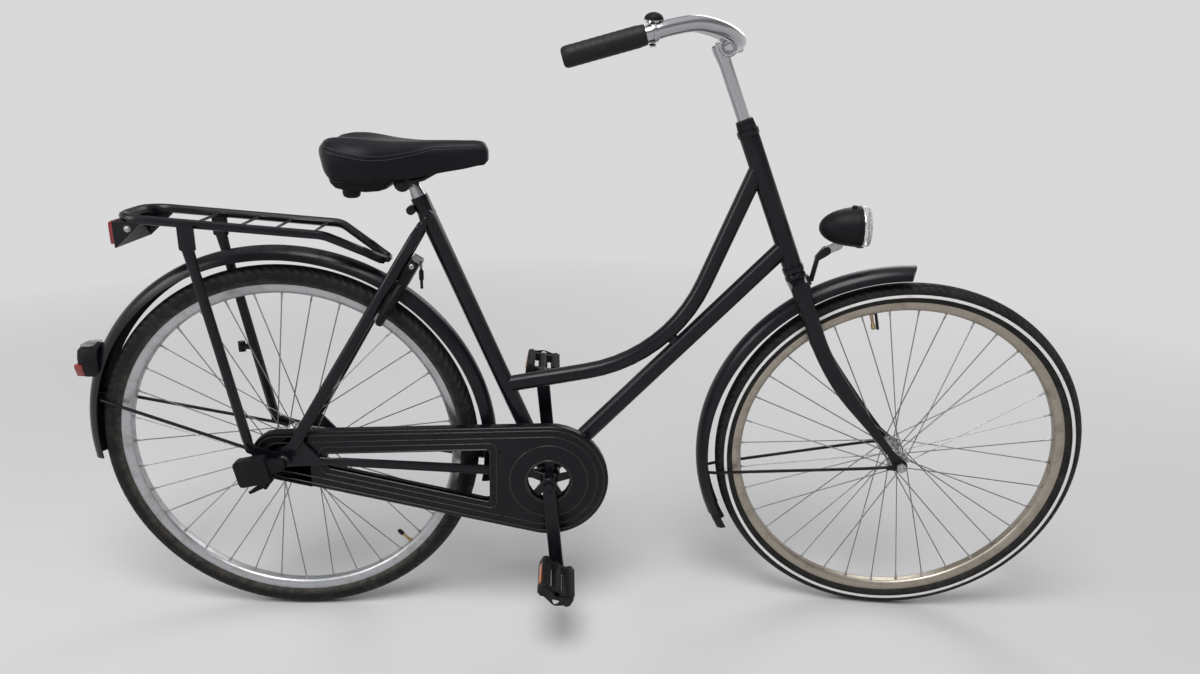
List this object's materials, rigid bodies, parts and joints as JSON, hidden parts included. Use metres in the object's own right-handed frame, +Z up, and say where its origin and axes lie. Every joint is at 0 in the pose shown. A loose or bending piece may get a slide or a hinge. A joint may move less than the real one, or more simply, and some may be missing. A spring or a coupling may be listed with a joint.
{
  "type": "dutch city bike",
  "caption": "Step-through city bicycle with a swan-shaped frame, full chain case, luggage rack, ring lock and swept bar.",
  "frame": {"origin": "on the ground, below the rear axle, in the middle plane of the frame", "axes": "+X from the rear wheel to the front wheel, +Y to the rider's left, +Z up"},
  "size_m": [1.8814, 0.5081, 1.1448],
  "materials": {
    "frame_paint": "black gloss enamel",
    "wire_paint": "black enamel on wire",
    "rack_paint": "black enamel",
    "black_steel": "black painted steel",
    "chrome": "chrome plated",
    "steel": "zinc plated",
    "chain_steel": "oiled steel",
    "hub_steel": "worn plated steel",
    "rim": "dull rim",
    "black_plastic": "grained",
    "case_black": "gloss case",
    "key_plastic": "grey moulded key head",
    "red_lens": "red reflex lens",
    "clear_lens": "clear ribbed lens",
    "flap_rubber": "matt",
    "tube_rubber": "matt",
    "pedal_rubber": "ribbed blocks",
    "tyre": "treaded",
    "vinyl": "grained cover",
    "grip_vinyl": "moulded grip"
  },
  "bodies": {
    "frame": {"frame": "frame_paint", "seat_stay_right": "frame_paint", "seat_stay_left": "frame_paint", "headset_cup_upper": "chrome", "headset_cup_lower": "chrome", "rear_axle": "steel", "brake_arm": "steel", "rear_mudguard": "frame_paint", "rear_mudguard_stay": "wire_paint", "rack_platform": "rack_paint", "rack_leg_right": "rack_paint", "rack_leg_left": "rack_paint", "rear_reflector": "red_lens", "tail_lamp_body": "black_plastic", "tail_lamp_lens": "red_lens", "ring_lock_body": "black_plastic", "chain_case_outer": "case_black", "chain_case_inner": "case_black", "chain_case_end": "black_plastic", "drive_chain": "chain_steel", "gear_box": "black_plastic"},
    "crank_set": {"crank_axle": "steel", "chainring": "chain_steel", "crank_right": "chrome", "crank_left": "chrome"},
    "pedal_right": {"pedal_right": "pedal_rubber"},
    "pedal_left": {"pedal_left": "pedal_rubber"},
    "sprocket": {"rear_sprocket": "chain_steel"},
    "rear_wheel": {"rear_hub_and_spokes": "hub_steel", "rear_rim": "rim", "rear_inner_tube": "tube_rubber", "rear_tyre": "tyre"},
    "lock_bar": {"ring_lock_shackle": "steel"},
    "lock_key": {"ring_lock_key": "key_plastic"},
    "spare_key": {"spare_key": "steel"},
    "gear_lever": {"gear_lever": "steel"},
    "seat_post": {"seat_post": "chrome"},
    "saddle": {"saddle_frame": "black_steel", "saddle_base": "black_plastic", "saddle_cover": "vinyl"},
    "steering": {"fork": "frame_paint", "headset_locknut": "chrome", "front_axle": "steel", "front_mudguard": "frame_paint", "front_mudguard_stay": "wire_paint", "mud_flap": "flap_rubber", "headlamp_bracket": "black_steel"},
    "headlamp": {"headlamp_shell": "black_plastic", "headlamp_lens": "clear_lens"},
    "stem": {"stem": "chrome"},
    "bar": {"handlebar": "chrome", "grip_right": "grip_vinyl", "grip_left": "grip_vinyl", "bell_base": "black_plastic", "bell_dome": "chrome"},
    "bell_lever": {"bell_lever": "black_plastic"},
    "front_wheel": {"front_hub_and_spokes": "hub_steel", "front_rim": "rim", "front_inner_tube": "tube_rubber", "front_tyre": "tyre"}
  },
  "joints": [
    {"name": "steering", "type": "hinge", "parent": "frame", "child": "steering", "pos_m": [0.92249, 0, 0.71738], "axis": [-0.4003, 0, 0.9164], "range_deg": [-72.7, 87.3]},
    {"name": "front_wheel_spin", "type": "hinge", "parent": "steering", "child": "front_wheel", "pos_m": [1.16147, -0.00915, 0.34877], "axis": [0.1164, 0.9919, 0.0509], "continuous": true},
    {"name": "rear_wheel_spin", "type": "hinge", "parent": "frame", "child": "rear_wheel", "pos_m": [0, 0, 0.349], "axis": [0, 1, 0], "continuous": true},
    {"name": "crank_spin", "type": "hinge", "parent": "frame", "child": "crank_set", "pos_m": [0.485, 0, 0.303], "axis": [0, 1, 0], "continuous": true, "deforming": ["drive_chain"]},
    {"name": "sprocket_spin", "type": "hinge", "parent": "frame", "child": "sprocket", "pos_m": [0, 0, 0.349], "axis": [0, 1, 0], "continuous": true},
    {"name": "pedal_right_spin", "type": "hinge", "parent": "crank_set", "child": "pedal_right", "pos_m": [0.50277, -0.11, 0.13393], "axis": [0, 1, 0], "continuous": true},
    {"name": "pedal_left_spin", "type": "hinge", "parent": "crank_set", "child": "pedal_left", "pos_m": [0.46723, 0.11, 0.47207], "axis": [0, 1, 0], "continuous": true},
    {"name": "stem_height", "type": "slide", "parent": "steering", "child": "stem", "axis": [-0.4003, 0, 0.9164], "range_m": [-0.06, 0.035]},
    {"name": "bar_tilt", "type": "hinge", "parent": "stem", "child": "bar", "pos_m": [0.77385, -0.00173, 1.09138], "axis": [0.1164, 0.9919, 0.0509], "range_deg": [-15, 15]},
    {"name": "headlamp_tilt", "type": "hinge", "parent": "steering", "child": "headlamp", "pos_m": [0.97951, -0.00831, 0.74879], "axis": [0.1164, 0.9919, 0.0509], "range_deg": [-20, 20]},
    {"name": "bell_lever_press", "type": "hinge", "parent": "bar", "child": "bell_lever", "pos_m": [0.62503, -0.20826, 1.07954], "axis": [-0.003, -0.0509, 0.9987], "range_deg": [0, 25], "stiffness_Nm_per_rad": 0.05},
    {"name": "lock_bar_turn", "type": "hinge", "parent": "frame", "child": "lock_bar", "pos_m": [0.19509, 0, 0.63235], "axis": [0.8644, 0, -0.5028], "range_deg": [-112, 0]},
    {"name": "lock_key_turn", "type": "hinge", "parent": "frame", "child": "lock_key", "pos_m": [0.24307, -0.026, 0.71434], "axis": [0.5028, 0, 0.8644], "range_deg": [-90, 0]},
    {"name": "spare_key_swing", "type": "hinge", "parent": "lock_key", "child": "spare_key", "pos_m": [0.25391, -0.026, 0.71498], "axis": [0, 1, 0], "range_deg": [-40, 0]},
    {"name": "gear_lever_swing", "type": "hinge", "parent": "frame", "child": "gear_lever", "pos_m": [-0.027, -0.0935, 0.3069], "axis": [0, 1, 0], "range_deg": [-20, 20], "stiffness_Nm_per_rad": 0.3},
    {"name": "saddle_height", "type": "slide", "parent": "frame", "child": "seat_post", "axis": [-0.3987, 0, 0.9171], "range_m": [-0.01, 0.12]},
    {"name": "saddle_tilt", "type": "hinge", "parent": "seat_post", "child": "saddle", "pos_m": [0.22535, 0, 0.84957], "axis": [0, 1, 0], "range_deg": [-12, 12]}
  ],
  "couplings": [
    {"joint": "sprocket_spin", "follows": "crank_spin", "ratio": 2.3158}
  ]
}
